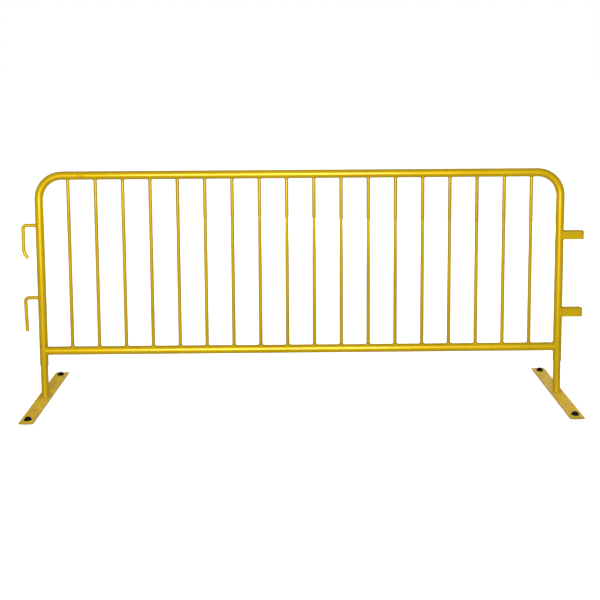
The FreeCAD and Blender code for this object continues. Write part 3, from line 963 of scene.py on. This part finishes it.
def threaded_screw(node, sizes, tree):
    """A clamp screw along Y, in its CAD node's box: a threaded shank and a hexagon head."""
    low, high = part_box(node)
    centre = middle(node)
    neck = high.y - sizes.head_height
    overlap = 0.2 * MM
    length = neck - low.y + overlap
    values = {"Radius": sizes.shank_radius, "Depth": sizes.thread_depth,
              "Pitch": sizes.thread_pitch, "Length": length}
    shank = grown("shank", bpy.data.meshes.new("start"), tree, values)
    along = Matrix.Translation((centre.x, low.y + length / 2, centre.z))
    shank.transform(along @ Euler((-math.pi / 2, 0, 0)).to_matrix().to_4x4())
    head = hexagon_head(centre, extent(node).z, neck, high.y, sizes.chamfer_angle)
    mesh = outward(joined([outward(shank), outward(head)]))
    sharpen(mesh, TURNED_EDGE)
    return mesh


def chamfered_nut(node, sizes):
    """A weld nut along Y, in its CAD node's box, flat where it meets the post's round back."""
    size = extent(node)
    outer_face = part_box(node)[1].y
    inner_face = saddle(size.x / 2)
    mesh = hexagon_nut(
        middle(node), size.z, inner_face, outer_face, sizes.bore_radius, sizes.chamfer_angle)
    sharpen(outward(mesh), TURNED_EDGE)
    return mesh


# Bumpers.

MOULDED_EDGE = math.radians(38)


def arc(centre, radius, start, end, count):
    """Points (distance from the axis, height) along an arc, between two angles in degrees."""
    turns = [math.radians(start + (end - start) * i / count) for i in range(count + 1)]
    return [(centre[0] + radius * math.cos(a), centre[1] + radius * math.sin(a)) for a in turns]


def bumper_profile(settings, pad_radius, head_top, low):
    """A bumper's outline from the middle of its underside to the middle of its dome."""
    rounding = settings.rounding
    groove, flank = 0.7 * MM, 0.4 * MM
    spacing = (pad_radius - rounding) / (settings.tread_rings + 1)
    groove_floor = low + groove
    first_ring, ring_width = 0.8, 0.55  # as shares of the spacing
    outline = [(0, groove_floor)]
    for ring in range(settings.tread_rings):
        inner = spacing * (ring + first_ring)
        outer = inner + spacing * ring_width
        outline += [(inner, groove_floor), (inner + flank, low)]
        outline += [(outer, low), (outer + flank, groove_floor)]
    outline += [(pad_radius - 3.4 * rounding, groove_floor), (pad_radius - 3 * rounding, low)]
    outline += arc((pad_radius - rounding, low + rounding), rounding, -90, 0, 6)
    outline += arc((pad_radius - rounding, PLATE_LOW - rounding), rounding, 0, 90, 6)
    outline += [(settings.stem_radius, PLATE_LOW), (settings.stem_radius, PLATE_TOP)]

    lip, ledge, shoulder, shoulder_rise = 0.5 * MM, 1.3 * MM, 0.3 * MM, 0.25 * MM
    head = settings.head_radius
    rim = PLATE_TOP + settings.rim_height
    outline += [(head - lip, PLATE_TOP)]
    outline += arc((head - lip, PLATE_TOP + lip), lip, -90, 0, 4)
    outline += arc((head - lip, rim - lip), lip, 0, 90, 4)
    chord = head - ledge - shoulder
    outline += [(head - ledge, rim), (chord, rim + shoulder_rise)]
    rise = head_top - rim - shoulder_rise
    ball = (chord ** 2 + rise ** 2) / (2 * rise)
    reach = math.degrees(math.asin(chord / ball))
    outline += arc((0, head_top - ball), ball, 90 - reach, 90, 14)[1:]
    return outline


def lathed(outline, centre, count=64):
    """A closed solid of revolution about an upright axis. The outline starts and ends on the axis."""
    rings = [[(centre.x, centre.y, outline[0][1])]]
    for radius, height in outline[1:-1]:
        rings.append([(centre.x + x, centre.y + y, height) for x, y in circle_points(radius, count)])
    rings.append([(centre.x, centre.y, outline[-1][1])])
    return ringed(rings)


# Operators.


class BARRIER_OT_coat_panel(bpy.types.Operator):
    """Coats the frame tube, the bottom rail, the pickets and the plugs inside the posts"""

    bl_idname = "barrier.coat_panel"
    bl_label = "Coat the panel"

    def execute(self, context):
        coat = context.scene.barrier_coat
        colours = (coat.yellow, coat.deep_yellow)
        mark_places, mark_size = (186 * MM, 203 * MM), 6 * MM
        marks = [((LEFT_POST + along, -TUBE_RADIUS, TOP_RAIL), mark_size) for along in mark_places]
        corners = [(post, 0, TOP_RAIL - 20 * MM) for post in POSTS.values()]
        ends = [(post, 0, POST_END) for post in POSTS.values()]
        tube = powder_coat("frame_powder_coat", coat, colours, corners + ends, 140 * MM, marks=marks)
        paint("frame_tube", tube)
        paint("bottom_rail", powder_coat("rail_powder_coat", coat, colours))
        # Painted shade: the pickets are coated in darker yellows than the rest of the panel, standing in
        # for their darker shading.
        picket = powder_coat("picket_powder_coat", coat, (coat.deep_yellow, coat.picket_shade_yellow))
        for name in PICKETS:
            paint(name, picket)
        plug = hidden_coat("plug_coat", coat)
        for side in SIDES:
            paint(f"{side}_stop_plug", plug)
        return {"FINISHED"}


class BARRIER_OT_coat_couplings(bpy.types.Operator):
    """Coats the hooks and the loops, which wear where one barrier hangs on the next"""

    bl_idname = "barrier.coat_couplings"
    bl_label = "Coat the hooks and loops"

    def execute(self, context):
        coat = context.scene.barrier_coat
        colours = (coat.yellow, coat.deep_yellow)
        rubbed_wear = 0.6
        for hook in HOOKS:
            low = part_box(hook)[0]
            arm = hook_arm(hook)
            rubbed = [(low.x + HOOK_RADIUS, 0, height) for height in (arm, arm - 45 * MM, low.z)]
            paint(hook, powder_coat(f"{hook}_coat", coat, colours, rubbed, 45 * MM, wear=rubbed_wear))
        for loop in LOOPS:
            low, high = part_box(loop)
            rubbed = [(high.x, 0, high.z), (high.x, 0, low.z), (high.x - 50 * MM, 0, high.z)]
            paint(loop, powder_coat(f"{loop}_coat", coat, colours, rubbed, wear=rubbed_wear))
        return {"FINISHED"}


class BARRIER_OT_coat_feet(bpy.types.Operator):
    """Coats the foot plates and their stubs"""

    bl_idname = "barrier.coat_feet"
    bl_label = "Coat the feet"

    def execute(self, context):
        coat = context.scene.barrier_coat
        stub = powder_coat("stub_powder_coat", coat, (coat.yellow, coat.deep_yellow), dirt=0.08)
        for side in SIDES:
            plate = f"{side}_foot_plate"
            paint(plate, foot_coat(f"{side}_foot_coat", coat, plate))
            paint(f"{side}_foot_stub", stub)
        return {"FINISHED"}


class BARRIER_OT_lay_weld_beads(bpy.types.Operator):
    """Lays the beads and the spatter of every welded seam"""

    bl_idname = "barrier.lay_weld_beads"
    bl_label = "Lay the weld beads"

    def execute(self, context):
        weld = context.scene.barrier_weld
        coat = context.scene.barrier_coat
        material = weld_coat("weld_coat", coat, (coat.yellow, coat.deep_yellow))
        foot_material = weld_coat("foot_weld_coat", coat, (coat.mustard, coat.deep_mustard))
        sizes = {
            "Step": 0.6 * MM, "Ripple pitch": weld.ripple_pitch, "Ripple depth": weld.ripple_depth,
            "Lumps": weld.lumps}
        first_seed = 3.0
        beads = [("frame_weld_beads", "frame", "panel_powder_coat", frame_seams(weld), material)]
        for side in SIDES:
            seam = [(stub_seam(POSTS[side]), weld.foot_bead)]
            name, body = f"{side}_foot_weld_bead", f"{side}_foot"
            beads.append((name, body, "foot_powder_coat", seam, foot_material))
        for number, (name, body, slot, seams, skin) in enumerate(beads):
            mesh = grown(name, seam_mesh(seams), bead_tree(skin), {**sizes, "Seed": first_seed + number})
            add_piece(name, outward(mesh), skin, body, slot)
        sizes = {"Drop size": weld.spatter_size}
        drops = grown("drops", spatter_points(weld), spatter_tree(material), sizes)
        add_piece("frame_weld_spatter", outward(drops), material, "frame", "panel_powder_coat")
        return {"FINISHED"}


class BARRIER_OT_turn_clamp_screws(bpy.types.Operator):
    """Makes the threaded clamp screws and the weld nuts that hold them"""

    bl_idname = "barrier.turn_clamp_screws"
    bl_label = "Make the clamp screws"

    def execute(self, context):
        sizes = context.scene.barrier_screw
        coat = context.scene.barrier_coat
        zinc = zinc_plate("zinc_plate", coat)
        nut_coat = powder_coat("nut_coat", coat, (coat.yellow, coat.deep_yellow), dirt=0.1)
        tree = thread_tree(zinc)
        for side in SIDES:
            screw, nut = f"{side}_clamp_screw", f"{side}_weld_nut"
            mesh = threaded_screw(screw, sizes, tree)
            add_piece(f"{side}_threaded_screw", mesh, zinc, f"{side}_clamp", "zinc_plated_steel", [screw])
            mesh = chamfered_nut(nut, sizes)
            add_piece(f"{side}_chamfered_nut", mesh, nut_coat, "frame", "panel_powder_coat", [nut])
        return {"FINISHED"}


class BARRIER_OT_mould_bumpers(bpy.types.Operator):
    """Makes the rubber bumpers pressed through the foot plates"""

    bl_idname = "barrier.mould_bumpers"
    bl_label = "Mould the bumpers"

    def execute(self, context):
        settings = context.scene.barrier_bumper
        rubber = bumper_rubber("bumper_rubber", context.scene.barrier_coat)
        for side in SIDES:
            for end in ENDS:
                node = f"{side}_{end}_bumper"
                low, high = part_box(node)
                outline = bumper_profile(settings, extent(node).x / 2, high.z, low.z)
                mesh = outward(lathed(outline, middle(node)))
                sharpen(mesh, MOULDED_EDGE)
                add_piece(f"{side}_{end}_rubber", mesh, rubber, f"{side}_foot", "bumper_rubber", [node])
        return {"FINISHED"}


def add_light(name, place, target, power, width, height):
    """A soft rectangular light that points at a target and doesn't show itself."""
    lamp = bpy.data.lights.new(name, "AREA")
    lamp.shape = "RECTANGLE"
    lamp.size, lamp.size_y = width, height
    lamp.energy = power
    light = bpy.data.objects.new(name, lamp)
    light.location = place
    light.rotation_euler = (Vector(target) - Vector(place)).to_track_quat("-Z", "Y").to_euler()
    light.visible_camera = False
    bpy.context.scene.collection.objects.link(light)


def light_panel(stage, panel):
    """Two lights face the panel from the front, one hangs above it and one stands behind it."""
    key = Vector((panel.x - 0.35, -4.6, 1.45))
    add_light("key", key, (key.x, 0, key.z), stage.key_power, width=2.5, height=2.2)
    band = Vector((panel.x - 0.05, -4.55, 1.2))
    add_light("band", band, (band.x, 0, band.z), stage.band_power, width=2.2, height=0.6)
    overhead = panel + Vector((0, -2.6, 3.0))
    add_light("overhead", overhead, panel, stage.overhead_power, width=3.6, height=0.5)
    behind = panel + Vector((0.9, 4.8, 0.25))
    add_light("back_fill", behind, panel, stage.back_power, width=3.2, height=1.4)


def studio_world(stage):
    """White behind the barrier, even light for matt surfaces and a darker room in glossy ones."""
    world = bpy.data.worlds.new("Studio")
    world.use_nodes = True
    tree = Tree(world.node_tree)
    tree.nodes.nodes.clear()
    seen = tree.add("ShaderNodeLightPath", output="Is Camera Ray")
    matt, glossy = seen.output("Is Diffuse Ray"), seen.output("Is Glossy Ray")
    strength = seen + matt * stage.ambient + glossy * stage.dark_room
    sky = tree.add("ShaderNodeBackground", {}, {"Color": (1, 1, 1), "Strength": strength})
    tree.add("ShaderNodeOutputWorld", {}, {"Surface": sky})
    return world


def pale_floor(low):
    """A pale floor just under the feet, bright enough to run into the white behind it."""
    reach, gap = 60, 0.2 * MM
    cloud_size = 0.9
    mesh = bpy.data.meshes.new("floor")
    corners = [(-reach, -reach), (reach, -reach), (reach, reach), (-reach, reach)]
    mesh.from_pydata([(x, y, low - gap) for x, y in corners], [], [(0, 1, 2, 3)])

    made = Material("pale_floor")
    cloud = made.noise(made.place, cloud_size, 3.0, 0.5, seed=61.0)
    colour = made.mix(cloud, (0.86, 0.86, 0.86), (0.84, 0.84, 0.84))
    mesh.materials.append(made.finish(0.0, {
        "Base Color": colour, "Roughness": 1.0, "Specular IOR Level": 0.0,
        "Emission Color": (1, 1, 1), "Emission Strength": 0.62}))

    floor = bpy.data.objects.new("floor", mesh)
    floor.visible_glossy = False
    floor.visible_diffuse = False
    bpy.context.scene.collection.objects.link(floor)


def studio_camera(stage, panel):
    """A camera in front of the panel, turned, tipped and leaned a little, with a shifted lens."""
    camera = bpy.data.objects.new("camera", bpy.data.cameras.new("camera"))
    camera.data.sensor_width = 36
    camera.data.lens = stage.lens
    camera.data.shift_y = stage.rise
    camera.data.clip_end = 200
    turn = Matrix.Rotation(-stage.yaw, 4, "Z")
    tip = Matrix.Rotation(math.pi / 2 - stage.pitch, 4, "X")
    lean = Matrix.Rotation(-stage.roll, 4, "Z")
    place = (panel.x - stage.camera_left, -stage.camera_distance, stage.camera_height)
    camera.matrix_world = Matrix.Translation(place) @ turn @ tip @ lean
    bpy.context.scene.collection.objects.link(camera)
    return camera


class BARRIER_OT_set_stage(bpy.types.Operator):
    """Sets up the floor, the world, the lights and the camera"""

    bl_idname = "barrier.set_stage"
    bl_label = "Set the stage"

    def execute(self, context):
        scene = context.scene
        stage = scene.barrier_stage
        panel = Vector(((LEFT_POST + RIGHT_POST) / 2, 0, (TOP_RAIL + cad_low.z) / 2))
        scene.view_settings.view_transform = "Standard"
        scene.world = studio_world(stage)
        pale_floor(cad_low.z)
        light_panel(stage, panel)
        scene.camera = studio_camera(stage, panel)
        return {"FINISHED"}


OPERATORS = (
    BARRIER_OT_coat_panel,
    BARRIER_OT_coat_couplings,
    BARRIER_OT_coat_feet,
    BARRIER_OT_lay_weld_beads,
    BARRIER_OT_turn_clamp_screws,
    BARRIER_OT_mould_bumpers,
    BARRIER_OT_set_stage,
)
SETTINGS = {
    "barrier_coat": BarrierCoatSettings,
    "barrier_weld": BarrierWeldSettings,
    "barrier_screw": BarrierScrewSettings,
    "barrier_bumper": BarrierBumperSettings,
    "barrier_stage": BarrierStageSettings,
}


class BARRIER_PT_sidebar(bpy.types.Panel):
    """Lists the barrier's operators"""

    bl_idname = "BARRIER_PT_sidebar"
    bl_label = "Barrier"
    bl_space_type = "VIEW_3D"
    bl_region_type = "UI"
    bl_category = "Barrier"

    def draw(self, context):
        for operator in OPERATORS:
            self.layout.operator(operator.bl_idname)


def register():
    """Registers the settings, the operators and the panel."""
    for name, group in SETTINGS.items():
        bpy.utils.register_class(group)
        setattr(bpy.types.Scene, name, PointerProperty(type=group))
    for item in (*OPERATORS, BARRIER_PT_sidebar):
        bpy.utils.register_class(item)


def unregister():
    """Takes back what register did."""
    for item in (BARRIER_PT_sidebar, *reversed(OPERATORS)):
        bpy.utils.unregister_class(item)
    for name, group in SETTINGS.items():
        delattr(bpy.types.Scene, name)
        bpy.utils.unregister_class(group)


def main():
    """Builds the whole barrier."""
    register()
    bpy.ops.barrier.coat_panel()
    bpy.ops.barrier.coat_couplings()
    bpy.ops.barrier.coat_feet()
    bpy.ops.barrier.lay_weld_beads()
    bpy.ops.barrier.turn_clamp_screws()
    bpy.ops.barrier.mould_bumpers()
    bpy.ops.barrier.set_stage()


if __name__ == "__main__":
    main()
